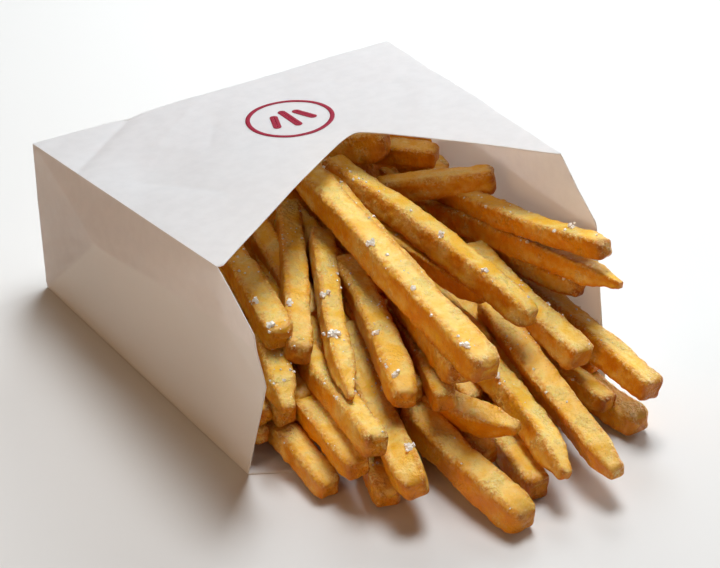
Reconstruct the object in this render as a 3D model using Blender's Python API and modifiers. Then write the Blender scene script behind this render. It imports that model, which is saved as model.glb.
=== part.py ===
"""French fries in a white paper bag that lies on its wide back panel, mouth open.

The bag is one sheet of paper folded into a flat-bottomed pouch. Its closed base stands
upright at the back, its top panel has a V notch cut into the mouth, and its back panel
ends in a rounded lip on the table. The fries are one heap: a low mound inside the bag,
with every fry that shows fused on at its true size.

Places are given in millimetres as (across, out, up). Across runs to the right, out runs
from the closed base towards the mouth and past it, and up is the height over the table.
The origin is on the table, under the middle of the back panel, with out along -Y.
"""
import math
import random

import bmesh
import bpy
from mathutils import Matrix, Vector

MM = 0.001

# Bag, in millimetres
BASE_WIDTH = 115.0          # closed base, across
BASE_HEIGHT = 48.0          # closed base, up
MOUTH_WIDTH = 102.0         # between the top panel's corners
FLOOR_WIDTH = 97.5          # between the back panel's corners
MOUTH_HEIGHT = 60.5         # the stuffed mouth stands open wider than the base
TOP_LENGTH = 96.5           # closed base to the top panel's corners
BACK_LENGTH = 104.0         # closed base to the back panel's left corner
LIP_SKEW = 22.0             # how much further the lip reaches at its right end
LIP_BULGE = 8.6             # roundness of the lip
NOTCH_OUT = 50.8            # closed base to the bottom of the V notch
NOTCH_ACROSS = 14.8         # the notch sits right of the middle
NOTCH_ROUND = 2.5           # radius that softens the notch's point
NOTCH_SLOPE_LEFT = 0.75
NOTCH_SLOPE_RIGHT = 1.36
# Cut edge of each side panel, from the table to the top: share of the height, and out
SIDE_EDGE_LEFT = ((0.0, 104.0), (0.63, 118.6), (0.85, 114.8), (1.0, 96.5))
SIDE_EDGE_RIGHT = ((0.0, 126.0), (0.44, 118.6), (0.79, 113.0), (1.0, 96.5))
SIDE_BULGE = 2.0            # the centre fold of each side panel stands out by this
FOLD_START = 24.0           # the centre fold begins this far from the base
PAPER = 0.4                 # modelled sheet thickness
TOP_COLUMNS = 24
BACK_COLUMNS = 16
SIDE_COLUMNS = 10
ROWS = 8

# Fries, in millimetres
CLEARANCE = 0.3             # kept between the fries and the paper
CORNER = 0.18               # corner cut, as a share of the thickness
END_CUT = 5.0               # a fry narrows over this length at its tip
CORE_INSET = 1.6            # the mound stays this far inside the paper's outer face
CORE_END_LEFT = 95.0        # the mound ends here, under the front fries
CORE_END_RIGHT = 113.0
CORE_BACK_TOP = 42.0        # at the back the hidden fries reach almost to the top panel
CORE_FRONT_TOP = 24.0       # under the fries that show, the mound is low
CORE_FRONT_START = 44.0
BACK_SLOPE = 0.9
FRONT_SLOPE = 0.22
SLOPE_START_LEFT = 30.0     # the high part ends here, sooner on the right
SLOPE_START_RIGHT = 22.0
SLOPE_TURN = 16.0
CORE_COLUMNS = 8
CORE_ROWS = 10
BEND_STATIONS = (-0.25, 0.0, 0.25)   # a bowed fry bends here, as shares of its length
TIP_SHARE = 0.49            # past this share of the length, a corner belongs to the tip
ROLL_LIMIT = 16.0           # degrees either way, for fries that lie on others
LYING_FLAT = 8.0            # a fry whose tip is lower than this lies flat on the table
SEED = 7
WELD = 0.01                 # corners closer than this are one corner

ORIGIN_OUT = 52.0           # the origin lies this far from the closed base

PAPER_COLOUR = (0.82, 0.80, 0.77)
PAPER_ROUGHNESS = 0.75
POTATO_COLOUR = (0.78, 0.50, 0.16)
POTATO_ROUGHNESS = 0.45

# name, tip (across, out, up), root (across, out, up), thickness, taper of the tip, bow.
# A positive bow curves the fry's middle to the right.
FRIES = [
    ("long_top", (1, 138, 35), (3, 38, 44), 7.8, 0.10, -1.2),
    ("right_of_long_top", (26, 121, 31), (12, 42, 41), 7.0, 0.15, 2.0),
    ("between_the_top_two", (25, 102, 27), (13, 54, 32), 6.6, 0.30, -0.5),
    ("right_pointed", (49, 128, 38), (34, 42, 24), 6.2, 0.60, 0.0),
    ("right_highest", (48, 122, 46), (40, 46, 29), 5.8, 0.10, -1.5),
    ("crosswise", (49, 70, 40), (21, 53, 35), 6.6, 0.05, 0.0),
    ("under_the_notch", (30, 45, 43.5), (8, 25, 38), 8.0, 0.10, 0.0),
    ("behind_the_notch", (45, 51, 31), (38, 20, 27), 6.0, 0.10, 0.0),
    ("by_the_right_wall", (50, 42, 27), (50, 22, 26), 5.4, 0.10, 0.0),
    ("left_edge", (-33, 94, 30), (-23, 44, 31), 7.2, 0.05, 0.0),
    ("left_upright", (-29, 98, 26), (4, 31, 29), 6.8, 0.05, 0.0),
    ("left_slim", (-26, 118, 25), (1, 57, 30), 5.8, 0.65, -1.0),
    ("centre_rounded", (-15, 125, 24), (1, 70, 28), 7.6, 0.20, 0.5),
    ("behind_left_edge", (-17, 66, 21), (-5, 29, 24), 6.4, 0.10, 0.0),
    ("left_pointed", (-39, 109, 20), (-31, 80, 24), 7.0, 0.45, 0.0),
    ("left_blunt", (-28, 133, 20), (-22, 84, 18), 7.3, 0.05, 0.0),
    ("left_low", (-31, 129, 11), (-28, 88, 12), 7.0, 0.10, 0.0),
    ("left_front", (-36, 124, 3.6), (-36, 92, 6), 6.6, 0.10, 0.0),
    ("behind_left_paper", (-43, 102, 8), (-42, 84, 8), 5.4, 0.20, 0.0),
    ("centre_left_long", (-23, 144, 12), (-7, 84, 17), 7.6, 0.15, -0.7),
    ("front_left", (-25, 135, 3.6), (-14, 98, 6), 6.8, 0.10, 0.0),
    ("under_long_top", (-6, 130, 23), (9, 82, 18), 6.6, 0.10, 0.5),
    ("tucked_under_long_top", (-2, 130, 30), (7, 86, 26), 6.8, 0.10, 0.0),
    ("front_bent", (7, 143, 18), (-2, 112, 13), 6.8, 0.50, -1.5),
    ("front_long", (-2, 160, 4.4), (-7, 115, 11), 8.4, 0.10, -1.5),
    ("front_dark", (4, 137, 6), (-1, 100, 8), 6.4, 0.10, 0.0),
    ("front_right_blunt", (8, 151, 4), (13, 120, 5), 7.4, 0.05, 0.0),
    ("front_right_curved", (12, 157, 11), (16, 100, 18), 7.0, 0.50, 2.5),
    ("right_long", (24, 162, 10), (31, 95, 19), 7.2, 0.35, -0.5),
    ("right_blunt", (36, 130, 20), (35, 80, 26), 7.0, 0.05, -1.0),
    ("right_far_long", (47, 146, 16), (42, 76, 20), 7.0, 0.05, 1.0),
    ("under_right_pointed", (48, 113, 28), (39, 74, 25), 5.4, 0.20, 0.0),
    ("right_small", (40, 138, 9), (36, 108, 10), 6.0, 0.20, 0.0),
    ("right_floor", (46, 144, 4), (44, 106, 5), 7.0, 0.05, -1.0),
    ("right_bit", (45, 125, 11), (44, 108, 12), 5.2, 0.10, 0.0),
    ("dark_middle", (21, 107, 14), (21, 69, 17), 6.8, 0.10, 0.0),
    ("inside_top", (6, 104, 34), (9, 34, 39), 6.5, 0.10, 0.0),
    ("inside_centre", (-7, 118, 17), (0, 66, 21), 6.5, 0.10, 0.0),
    ("inside_front", (-12, 122, 4), (-5, 97, 6), 6.5, 0.10, 0.0),
    ("inside_right", (27, 130, 4.2), (28, 106, 5), 6.8, 0.10, 0.0),
]


def world(across, out, up):
    """Turn a place in millimetres into a point in metres."""
    return Vector((across, ORIGIN_OUT - out, up)) * MM


def mix(start, end, share):
    """The value a share of the way from start to end."""
    return start + (end - start) * share


def clear_scene():
    """Remove every object that is in the file."""
    for old in list(bpy.data.objects):
        bpy.data.objects.remove(old, do_unlink=True)


def new_collection(name):
    """Make a collection in the scene."""
    collection = bpy.data.collections.new(name)
    bpy.context.scene.collection.children.link(collection)
    return collection


def new_object(name, work, collection):
    """Turn a finished bmesh into an object in a collection."""
    mesh = bpy.data.meshes.new(name)
    work.to_mesh(mesh)
    work.free()
    thing = bpy.data.objects.new(name, mesh)
    collection.objects.link(thing)
    return thing


def principled(name, colour, roughness):
    """A Principled material with a flat colour."""
    material = bpy.data.materials.new(name)
    material.use_nodes = True
    shader = material.node_tree.nodes["Principled BSDF"]
    shader.inputs["Base Color"].default_value = (*colour, 1.0)
    shader.inputs["Roughness"].default_value = roughness
    shader.inputs["Metallic"].default_value = 0.0
    return material


# Paper bag

def top_half(out):
    """Half the bag's width along the top panel's edges."""
    return mix(BASE_WIDTH, MOUTH_WIDTH, min(out / TOP_LENGTH, 1.0)) / 2


def floor_half(out):
    """Half the bag's width along the back panel's edges."""
    return mix(BASE_WIDTH, FLOOR_WIDTH, min(out / BACK_LENGTH, 1.0)) / 2


def bag_height(out):
    """Height of the top panel over the table."""
    return mix(BASE_HEIGHT, MOUTH_HEIGHT, min(out / TOP_LENGTH, 1.0))


def notch_reach(across):
    """Distance from the base to the top panel's cut edge: a V with a softened point."""
    offset = across - NOTCH_ACROSS
    slope = NOTCH_SLOPE_LEFT if offset < 0 else NOTCH_SLOPE_RIGHT
    cut = NOTCH_OUT + math.hypot(slope * offset, NOTCH_ROUND) - NOTCH_ROUND
    return min(cut, TOP_LENGTH)


def lip_reach(share):
    """Distance from the base to the back panel's rounded lip, from left (0) to right (1)."""
    return BACK_LENGTH + LIP_SKEW * share + LIP_BULGE * math.sin(math.pi * share)


def side_reach(share, edge):
    """Distance from the base to a side panel's edge, straight from one corner to the next."""
    for (low, start), (high, end) in zip(edge, edge[1:]):
        if share <= high:
            break
    return mix(start, end, (share - low) / (high - low))


def side_across(share, out):
    """Distance of a side panel from the middle, with its centre fold standing out."""
    fold = SIDE_BULGE * (1 - abs(2 * share - 1)) * min(out / FOLD_START, 1.0)
    return mix(floor_half(out), top_half(out), share) + fold


def bag_point(panel, share, along):
    """A point of the paper: its panel, the share round it, and the share from base to edge."""
    if panel == "top":
        edge = mix(-MOUTH_WIDTH, MOUTH_WIDTH, share) / 2
        out = notch_reach(edge) * along
        return world(mix(-1, 1, share) * top_half(out), out, bag_height(out))
    if panel == "back":
        out = lip_reach(1 - share) * along
        return world(mix(1, -1, share) * floor_half(out), out, 0)
    if panel == "right":
        up_share = 1 - share
        out = side_reach(up_share, SIDE_EDGE_RIGHT) * along
        return world(side_across(up_share, out), out, up_share * bag_height(out))
    out = side_reach(share, SIDE_EDGE_LEFT) * along
    return world(-side_across(share, out), out, share * bag_height(out))


def build_bag(collection):
    """Loft the four panels from the base to the mouth, close the base and thicken the sheet."""
    stations = []
    for panel, columns in (("top", TOP_COLUMNS), ("right", SIDE_COLUMNS),
                           ("back", BACK_COLUMNS), ("left", SIDE_COLUMNS)):
        stations += [(panel, column / columns) for column in range(columns)]
    work = bmesh.new()
    rings = []
    for row in range(ROWS + 1):
        rings.append([work.verts.new(bag_point(panel, share, row / ROWS))
                      for panel, share in stations])
    for near, far in zip(rings, rings[1:]):
        for column in range(len(stations)):
            following = (column + 1) % len(stations)
            work.faces.new((near[column], near[following], far[following], far[column]))
    work.faces.new(rings[0])
    bmesh.ops.recalc_face_normals(work, faces=work.faces)
    bag = new_object("bag", work, collection)
    sheet = bag.modifiers.new("paper", "SOLIDIFY")
    sheet.thickness = PAPER * MM
    sheet.offset = -1.0
    sheet.use_even_offset = True
    bag.data.materials.append(principled("white paper", PAPER_COLOUR, PAPER_ROUGHNESS))
    return bag


# Heap of fries

def core_top(across, out):
    """Height of the mound that carries the fries: up to the panel at the back, low in front."""
    right = min(max((across - NOTCH_ACROSS) / SLOPE_TURN, 0), 1)
    slope_start = mix(SLOPE_START_LEFT, SLOPE_START_RIGHT, right)
    back = CORE_BACK_TOP - BACK_SLOPE * max(out - slope_start, 0)
    front = CORE_FRONT_TOP - FRONT_SLOPE * max(out - CORE_FRONT_START, 0)
    return max(back, front)


def build_core(collection):
    """A grid over the bag's floor, lifted into a mound and closed underneath."""
    work = bmesh.new()
    bmesh.ops.create_grid(work, x_segments=CORE_COLUMNS, y_segments=CORE_ROWS, size=1.0)
    low = PAPER + CLEARANCE
    top = list(work.faces)
    floor = bmesh.ops.extrude_face_region(work, geom=top)
    floor_verts = {item for item in floor["geom"] if isinstance(item, bmesh.types.BMVert)}
    for vert in work.verts:
        core_end = mix(CORE_END_LEFT, CORE_END_RIGHT, (1 + vert.co.x) / 2)
        out = mix(CORE_INSET, core_end, (1 - vert.co.y) / 2)
        half = min(floor_half(out), top_half(out)) - CORE_INSET
        across = vert.co.x * half
        up = low if vert in floor_verts else core_top(across, out)
        vert.co = world(across, out, up)
    bmesh.ops.recalc_face_normals(work, faces=work.faces)
    return new_object("fries", work, collection)


def build_fry(name, tip, root, thickness, taper, bow, roll, collection):
    """A bar with cut corners, narrowed at its tip, bowed, and laid from its root to its tip."""
    start, end = world(*root), world(*tip)
    length = (end - start).length
    work = bmesh.new()
    bmesh.ops.create_cube(work, size=1.0)
    bmesh.ops.scale(work, verts=work.verts,
                    vec=(thickness * MM, length, thickness * MM))
    long_edges = [edge for edge in work.edges
                  if abs(edge.verts[0].co.y - edge.verts[1].co.y) > length / 2]
    bmesh.ops.bevel(work, geom=long_edges, offset=CORNER * thickness * MM, segments=1,
                    affect="EDGES")
    for station in (*BEND_STATIONS, 0.5 - END_CUT * MM / length):
        bmesh.ops.bisect_plane(work, geom=work.verts[:] + work.edges[:] + work.faces[:],
                               plane_co=(0, station * length, 0), plane_no=(0, 1, 0))
    for vert in work.verts:
        share = vert.co.y / length
        if share > TIP_SHARE:
            vert.co.x *= 1 - taper
            vert.co.z *= 1 - taper
        vert.co.x += bow * MM * (1 - 4 * share * share)
    bmesh.ops.recalc_face_normals(work, faces=work.faces)
    fry = new_object(name, work, collection)
    forward = (end - start).normalized()
    side = Vector((0, 0, 1)).cross(forward).normalized()
    if side.x < 0:
        side.negate()
    turn = Matrix((side, forward, side.cross(forward))).transposed()
    fry.matrix_world = (Matrix.Translation((start + end) / 2) @ turn.to_4x4()
                        @ Matrix.Rotation(math.radians(roll), 4, "Y"))
    return fry


def keep_outer_skin(mesh):
    """Drop every loose scrap and every sealed hollow, leaving the largest closed skin."""
    work = bmesh.new()
    work.from_mesh(mesh)
    unseen = set(work.verts)
    skins = []
    while unseen:
        stack = [unseen.pop()]
        skin = set(stack)
        while stack:
            for edge in stack.pop().link_edges:
                for vert in edge.verts:
                    if vert in unseen:
                        unseen.remove(vert)
                        skin.add(vert)
                        stack.append(vert)
        skins.append(skin)
    skins.sort(key=len)
    for skin in skins[:-1]:
        bmesh.ops.delete(work, geom=list(skin), context="VERTS")
    bmesh.ops.triangulate(work, faces=work.faces)
    bmesh.ops.remove_doubles(work, verts=work.verts, dist=WELD * MM)
    bmesh.ops.dissolve_degenerate(work, edges=work.edges, dist=WELD * MM)
    work.to_mesh(mesh)
    work.free()


def build_heap(collection):
    """Fuse the fries that show onto the mound with one union."""
    core = build_core(collection)
    loose = new_collection("loose fries")
    chance = random.Random(SEED)
    for name, tip, root, thickness, taper, bow in FRIES:
        roll = chance.uniform(-ROLL_LIMIT, ROLL_LIMIT) if tip[2] > LYING_FLAT else 0
        build_fry(name, tip, root, thickness, taper, bow, roll, loose)
    bpy.context.view_layer.update()
    union = core.modifiers.new("fuse", "BOOLEAN")
    union.operation = "UNION"
    union.operand_type = "COLLECTION"
    union.collection = loose
    union.solver = "EXACT"
    evaluated = core.evaluated_get(bpy.context.evaluated_depsgraph_get())
    fused = bpy.data.meshes.new_from_object(evaluated)
    core.modifiers.clear()
    core.data = fused
    for fry in list(loose.objects):
        bpy.data.objects.remove(fry, do_unlink=True)
    bpy.data.collections.remove(loose)
    keep_outer_skin(core.data)
    core.data.materials.clear()
    core.data.materials.append(principled("fried potato", POTATO_COLOUR, POTATO_ROUGHNESS))
    return core


clear_scene()
parts = new_collection("french fries in a paper bag")
build_bag(parts)
build_heap(parts)
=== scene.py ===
# %% [markdown]
# # French fries in a white paper bag
# The bag lies on its wide back panel with its mouth open, and the fries slide out over its lip.
# This script builds what is seen: the sheet of paper, every fry that shows, the fries that lie
# under them, and the salt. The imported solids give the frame, and each piece here takes the place
# of one of them.
#
# Places are given in millimetres as (across, out, up). Across runs to the right, out runs from
# the bag's closed base towards the mouth and past it, and up is the height over the table.

import bpy
import numpy as np
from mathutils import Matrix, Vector

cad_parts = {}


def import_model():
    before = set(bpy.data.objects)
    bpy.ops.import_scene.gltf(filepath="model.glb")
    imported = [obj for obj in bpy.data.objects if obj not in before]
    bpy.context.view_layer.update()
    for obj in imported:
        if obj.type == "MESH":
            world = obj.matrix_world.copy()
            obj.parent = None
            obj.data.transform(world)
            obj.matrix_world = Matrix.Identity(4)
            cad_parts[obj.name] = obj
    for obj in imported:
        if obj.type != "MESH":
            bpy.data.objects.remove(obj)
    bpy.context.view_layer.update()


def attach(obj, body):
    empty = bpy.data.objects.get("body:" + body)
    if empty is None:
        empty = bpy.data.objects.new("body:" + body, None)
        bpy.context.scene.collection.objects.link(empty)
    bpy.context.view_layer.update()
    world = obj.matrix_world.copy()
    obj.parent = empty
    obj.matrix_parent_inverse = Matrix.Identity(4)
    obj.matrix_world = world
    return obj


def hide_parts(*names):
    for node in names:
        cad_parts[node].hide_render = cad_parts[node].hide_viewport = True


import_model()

# %% [markdown]
# ## Sizes
# The bag's sizes and the places of the fries are the ones that the solids are built from, so
# that what is seen and what is touched are the same shape. Two things differ a little: the paper
# is thinner here, and the side panels are folded where a real bag folds, not at half height.

# %% Sizes of the bag, in millimetres
MM = 0.001
ORIGIN_OUT = 52.0           # the origin lies this far from the closed base
BASE_WIDTH = 115.0          # closed base, across
BASE_HEIGHT = 48.0          # closed base, up
MOUTH_WIDTH = 102.0         # between the top panel's corners
FLOOR_WIDTH = 97.5          # between the back panel's corners
MOUTH_HEIGHT = 60.5         # the stuffed mouth stands open wider than the base
TOP_LENGTH = 96.5           # closed base to the top panel's corners
BACK_LENGTH = 104.0         # closed base to the back panel's left corner
LIP_SKEW = 22.0             # how much further the lip reaches at its right end
LIP_BULGE = 8.6             # roundness of the lip
NOTCH_OUT = 50.8            # closed base to the bottom of the V notch
NOTCH_ACROSS = 14.8         # the notch sits right of the middle
NOTCH_ROUND = 2.5           # radius that softens the notch's point
NOTCH_SLOPE_LEFT = 0.75
NOTCH_SLOPE_RIGHT = 1.36
# Cut edge of each side panel, from the table to the top: share of the height, and out
SIDE_EDGE_LEFT = ((0.0, 104.0), (0.63, 118.6), (0.85, 114.8), (1.0, 96.5))
SIDE_EDGE_RIGHT = ((0.0, 126.0), (0.44, 118.6), (0.79, 113.0), (1.0, 96.5))
SIDE_BULGE = 2.4            # the long fold of each side panel stands out by this,
MOUTH_BULGE = 0.35          # and by this share of it at the mouth
FOLD_START = 37.0           # the folds from the base's corners meet this far out,
FOLD_UP = 36.0              # at this height,
FOLD_RISE = 0.15            # and run on to the mouth with this slope
PAPER = 0.22                # thickness of the sheet that is seen

# %% Sizes of the fries, in millimetres
# name, tip (across, out, up), root (across, out, up), thickness, taper of the tip, bow.
# A positive bow curves the fry's middle to the right.
FRIES = [
    ("long_top", (1, 138, 35), (3, 38, 44), 7.8, 0.10, -1.2),
    ("right_of_long_top", (26, 121, 31), (12, 42, 41), 7.0, 0.15, 2.0),
    ("between_the_top_two", (25, 102, 27), (13, 54, 32), 6.6, 0.30, -0.5),
    ("right_pointed", (49, 128, 38), (34, 42, 24), 6.2, 0.60, 0.0),
    ("right_highest", (48, 122, 46), (40, 46, 29), 5.8, 0.10, -1.5),
    ("crosswise", (49, 70, 40), (21, 53, 35), 6.6, 0.05, 0.0),
    ("under_the_notch", (30, 45, 43.5), (8, 25, 38), 8.0, 0.10, 0.0),
    ("behind_the_notch", (45, 51, 31), (38, 20, 27), 6.0, 0.10, 0.0),
    ("by_the_right_wall", (50, 42, 27), (50, 22, 26), 5.4, 0.10, 0.0),
    ("left_edge", (-33, 94, 30), (-23, 44, 31), 7.2, 0.05, 0.0),
    ("left_upright", (-29, 98, 26), (4, 31, 29), 6.8, 0.05, 0.0),
    ("left_slim", (-26, 118, 25), (1, 57, 30), 5.8, 0.65, -1.0),
    ("centre_rounded", (-15, 125, 24), (1, 70, 28), 7.6, 0.20, 0.5),
    ("behind_left_edge", (-17, 66, 21), (-5, 29, 24), 6.4, 0.10, 0.0),
    ("left_pointed", (-39, 109, 20), (-31, 80, 24), 7.0, 0.45, 0.0),
    ("left_blunt", (-28, 133, 20), (-22, 84, 18), 7.3, 0.05, 0.0),
    ("left_low", (-31, 129, 11), (-28, 88, 12), 7.0, 0.10, 0.0),
    ("left_front", (-36, 124, 3.6), (-36, 92, 6), 6.6, 0.10, 0.0),
    ("behind_left_paper", (-43, 102, 8), (-42, 84, 8), 5.4, 0.20, 0.0),
    ("centre_left_long", (-23, 144, 12), (-7, 84, 17), 7.6, 0.15, -0.7),
    ("front_left", (-25, 135, 3.6), (-14, 98, 6), 6.8, 0.10, 0.0),
    ("under_long_top", (-6, 130, 23), (9, 82, 18), 6.6, 0.10, 0.5),
    ("tucked_under_long_top", (-2, 130, 30), (7, 86, 26), 6.8, 0.10, 0.0),
    ("front_bent", (7, 143, 18), (-2, 112, 13), 6.8, 0.50, -1.5),
    ("front_long", (-2, 160, 4.4), (-7, 115, 11), 8.4, 0.10, -1.5),
    ("front_dark", (4, 137, 6), (-1, 100, 8), 6.4, 0.10, 0.0),
    ("front_right_blunt", (8, 151, 4), (13, 120, 5), 7.4, 0.05, 0.0),
    ("front_right_curved", (12, 157, 11), (16, 100, 18), 7.0, 0.50, 2.5),
    ("right_long", (24, 162, 10), (31, 95, 19), 7.2, 0.35, -0.5),
    ("right_blunt", (36, 130, 20), (35, 80, 26), 7.0, 0.05, -1.0),
    ("right_far_long", (47, 146, 16), (42, 76, 20), 7.0, 0.05, 1.0),
    ("under_right_pointed", (48, 113, 28), (39, 74, 25), 5.4, 0.20, 0.0),
    ("right_small", (40, 138, 9), (36, 108, 10), 6.0, 0.20, 0.0),
    ("right_floor", (46, 144, 4), (44, 106, 5), 7.0, 0.05, -1.0),
    ("right_bit", (45, 125, 11), (44, 108, 12), 5.2, 0.10, 0.0),
    ("dark_middle", (21, 107, 14), (21, 69, 17), 6.8, 0.10, 0.0),
    ("inside_top", (6, 104, 34), (9, 34, 39), 6.5, 0.10, 0.0),
    ("inside_centre", (-7, 118, 17), (0, 66, 21), 6.5, 0.10, 0.0),
    ("inside_front", (-12, 122, 4), (-5, 97, 6), 6.5, 0.10, 0.0),
    ("inside_right", (27, 130, 4.2), (28, 106, 5), 6.8, 0.10, 0.0),
]
ROLL_LIMIT = 16.0           # degrees either way, for fries that lie on others
LYING_FLAT = 8.0            # a fry whose tip is lower than this lies flat on the table
ROLL_SEED = 7
UP = np.array((0.0, 0.0, 1.0))

# %% [markdown]
# ## Tools for shapes
# Every piece is a surface worked out as whole arrays: a function of two parameters on a grid, or
# a section carried along a path. Irregular detail comes from one smooth random field in space.


# %% Tools for numbers
def mix(start, end, share):
    """The value a share of the way from start to end."""
    return start + (end - start) * share


def ease(share):
    """A soft step from 0 to 1: 3s² - 2s³, held at 0 and 1 outside."""
    share = np.clip(share, 0.0, 1.0)
    return share * share * (3 - 2 * share)


def world(across, out, up):
    """Places in millimetres, as arrays, turned into points: x across, y from the origin, z up."""
    across, out, up = np.broadcast_arrays(across, out, up)
    return np.stack((across, ORIGIN_OUT - out, up), axis=-1).astype(float)


def noise(points, cell, seed):
    """A smooth random field from -1 to 1: random values at the corners of cubes of side cell,
    blended between the eight corners by the soft step."""
    table = np.random.default_rng(seed).uniform(-1, 1, (32, 32, 32))
    scaled = points / cell
    whole = np.floor(scaled).astype(int)
    part = ease(scaled - whole)
    total = 0.0
    for corner in np.ndindex(2, 2, 2):
        weight = np.prod(np.where(corner, part, 1 - part), axis=-1)
        index = (whole + np.array(corner)) % 32
        total = total + weight * table[index[..., 0], index[..., 1], index[..., 2]]
    return total


def field(points, *layers):
    """Random fields added up. Each layer is (strength, size of its patches, seed)."""
    return sum(strength * noise(points, cell, seed) for strength, cell, seed in layers)


def unit(vectors):
    """Vectors scaled to length 1 along the last axis."""
    length = np.linalg.norm(vectors, axis=-1, keepdims=True)
    return vectors / np.maximum(length, 1e-9)


# %% Tools for meshes
def ring_faces(rows, columns, first=0):
    """Four-sided faces of a tube of rows by columns points, closed round its columns."""
    row, column = np.meshgrid(np.arange(rows - 1), np.arange(columns), indexing="ij")
    after = (column + 1) % columns
    corners = (row * columns + column, row * columns + after,
               (row + 1) * columns + after, (row + 1) * columns + column)
    return first + np.stack(corners, axis=-1).reshape(-1, 4)


def fan_faces(ring, centre, columns, outward):
    """Three-sided faces that close a ring of points on its centre point."""
    column = np.arange(columns)
    after = (column + 1) % columns
    pair = (column, after) if outward else (after, column)
    return np.stack((ring + pair[0], ring + pair[1], np.full(columns, centre)), axis=-1)


def new_mesh(name, points, faces, looks=None):
    """A smooth-shaded object from points in millimetres and lists of faces. looks holds three
    numbers a point, which the material reads from the attribute of that name."""
    mesh = bpy.data.meshes.new(name)
    every_face = [face for group in faces for face in group.tolist()]
    mesh.from_pydata((points * MM).tolist(), [], every_face)
    mesh.polygons.foreach_set("use_smooth", np.ones(len(every_face), bool))
    if looks is not None:
        attribute = mesh.attributes.new("looks", "FLOAT_VECTOR", "POINT")
        attribute.data.foreach_set("vector", looks.astype(np.float32).ravel())
    mesh.update()
    thing = bpy.data.objects.new(name, mesh)
    bpy.context.scene.collection.objects.link(thing)
    return thing


def finish_piece(thing, material, node):
    """Give a piece its material, hang it on the root body, and hide the imported solid it replaces.
    """
    thing.data.materials.append(material)
    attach(thing, "root")
    if node:
        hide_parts(node)
    print(f"{thing.name}: {len(thing.data.vertices)} points, {len(thing.data.polygons)} faces")


# %% [markdown]
# ## Tools for materials
# Colours are written as the screen shows them and turned into the linear values that the shader
# wants. One function adds a node with its settings and links.


# %% Tools for materials
def to_linear(code):
    """A screen colour such as 'F0EDE8' as linear red, green, blue and 1."""
    share = np.array([int(code[i:i + 2], 16) for i in (0, 2, 4)]) / 255
    linear = np.where(share <= 0.04045, share / 12.92, ((share + 0.055) / 1.055) ** 2.4)
    return (*linear.tolist(), 1.0)


def new_material(name):
    """A material with a Principled shader, as (material, node tree, shader)."""
    material = bpy.data.materials.new(name)
    material.use_nodes = True
    tree = material.node_tree
    return material, tree, tree.nodes["Principled BSDF"]


def set_inputs(tree, node, inputs):
    """Fill a node's sockets: a value is set, and another node's output is linked."""
    for name, value in inputs.items():
        if isinstance(value, bpy.types.NodeSocket):
            tree.links.new(value, node.inputs[name])
        else:
            node.inputs[name].default_value = value


def add_node(tree, kind, settings, inputs):
    """Add a node. settings are its properties, and inputs are its sockets."""
    node = tree.nodes.new(kind)
    for name, value in settings.items():
        setattr(node, name, value)
    set_inputs(tree, node, inputs)
    return node


def object_place(tree):
    """The place on the piece, in its own coordinates."""
    return add_node(tree, "ShaderNodeTexCoord", {}, {}).outputs["Object"]


def mesh_looks(tree):
    """The three numbers that the mesh brings at each point."""
    looks = add_node(tree, "ShaderNodeAttribute", {"attribute_name": "looks"}, {})
    return add_node(tree, "ShaderNodeSeparateXYZ", {}, {0: looks.outputs["Vector"]}).outputs


def blend_colours(tree, share, first, second):
    """The colour a share of the way from first to second."""
    node = add_node(tree, "ShaderNodeMix", {"data_type": "RGBA"},
                    {0: share, 6: first, 7: second})
    return node.outputs[2]


def ramp(tree, value, low, high, start=0.0, end=1.0):
    """value carried from the range low..high to start..end, and held there outside it."""
    node = add_node(tree, "ShaderNodeMapRange", {"interpolation_type": "SMOOTHSTEP"},
                    {"Value": value, "From Min": low, "From Max": high,
                     "To Min": start, "To Max": end})
    return node.outputs["Result"]


def fine_noise(tree, place, size, detail=2.0, roughness=0.5):
    """Random grey whose patches are about size millimetres wide."""
    node = add_node(tree, "ShaderNodeTexNoise", {},
                    {"Vector": place, "Scale": 1 / (size * MM), "Detail": detail,
                     "Roughness": roughness})
    return node.outputs["Fac"]


def arithmetic(tree, operation, first, second):
    """One operation of the kind named, on two values."""
    return add_node(tree, "ShaderNodeMath", {"operation": operation},
                    {0: first, 1: second}).outputs[0]


# %% [markdown]
# ## The paper bag
# On the real object this is one sheet of thin white paper, folded into a pouch with a flat base
# and two side panels that each have a centre fold, cut with a V notch in front. It could be five
# flat plates, but real paper rounds over at its folds and keeps every crease, so it is built as
# one lofted sheet: a ring of points round the bag is carried from the base to the cut edge, then
# creased and given its thickness.


# %% Outline of the bag
def top_half(out):
    """Half the bag's width along the top panel's edges."""
    return mix(BASE_WIDTH, MOUTH_WIDTH, np.minimum(out / TOP_LENGTH, 1.0)) / 2


def floor_half(out):
    """Half the bag's width along the back panel's edges."""
    return mix(BASE_WIDTH, FLOOR_WIDTH, np.minimum(out / BACK_LENGTH, 1.0)) / 2


def bag_height(out):
    """Height of the top panel over the table."""
    return mix(BASE_HEIGHT, MOUTH_HEIGHT, np.minimum(out / TOP_LENGTH, 1.0))


def notch_reach(across):
    """Distance from the base to the top panel's cut edge: a V with a softened point."""
    offset = across - NOTCH_ACROSS
    slope = np.where(offset < 0, NOTCH_SLOPE_LEFT, NOTCH_SLOPE_RIGHT)
    cut = NOTCH_OUT + np.hypot(slope * offset, NOTCH_ROUND) - NOTCH_ROUND
    return np.minimum(cut, TOP_LENGTH)


def lip_reach(share):
    """Distance from the base to the back panel's rounded lip, from left (0) to right (1)."""
    return BACK_LENGTH + LIP_SKEW * share + LIP_BULGE * np.sin(np.pi * share)


def side_reach(share, edge):
    """Distance from the base to a side panel's edge, straight from one corner to the next."""
    return np.interp(share, *zip(*edge))


def ridge_height(out):
    """Height of the long fold of a side panel."""
    return FOLD_UP + FOLD_RISE * np.maximum(out - FOLD_START, 0)


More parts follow.
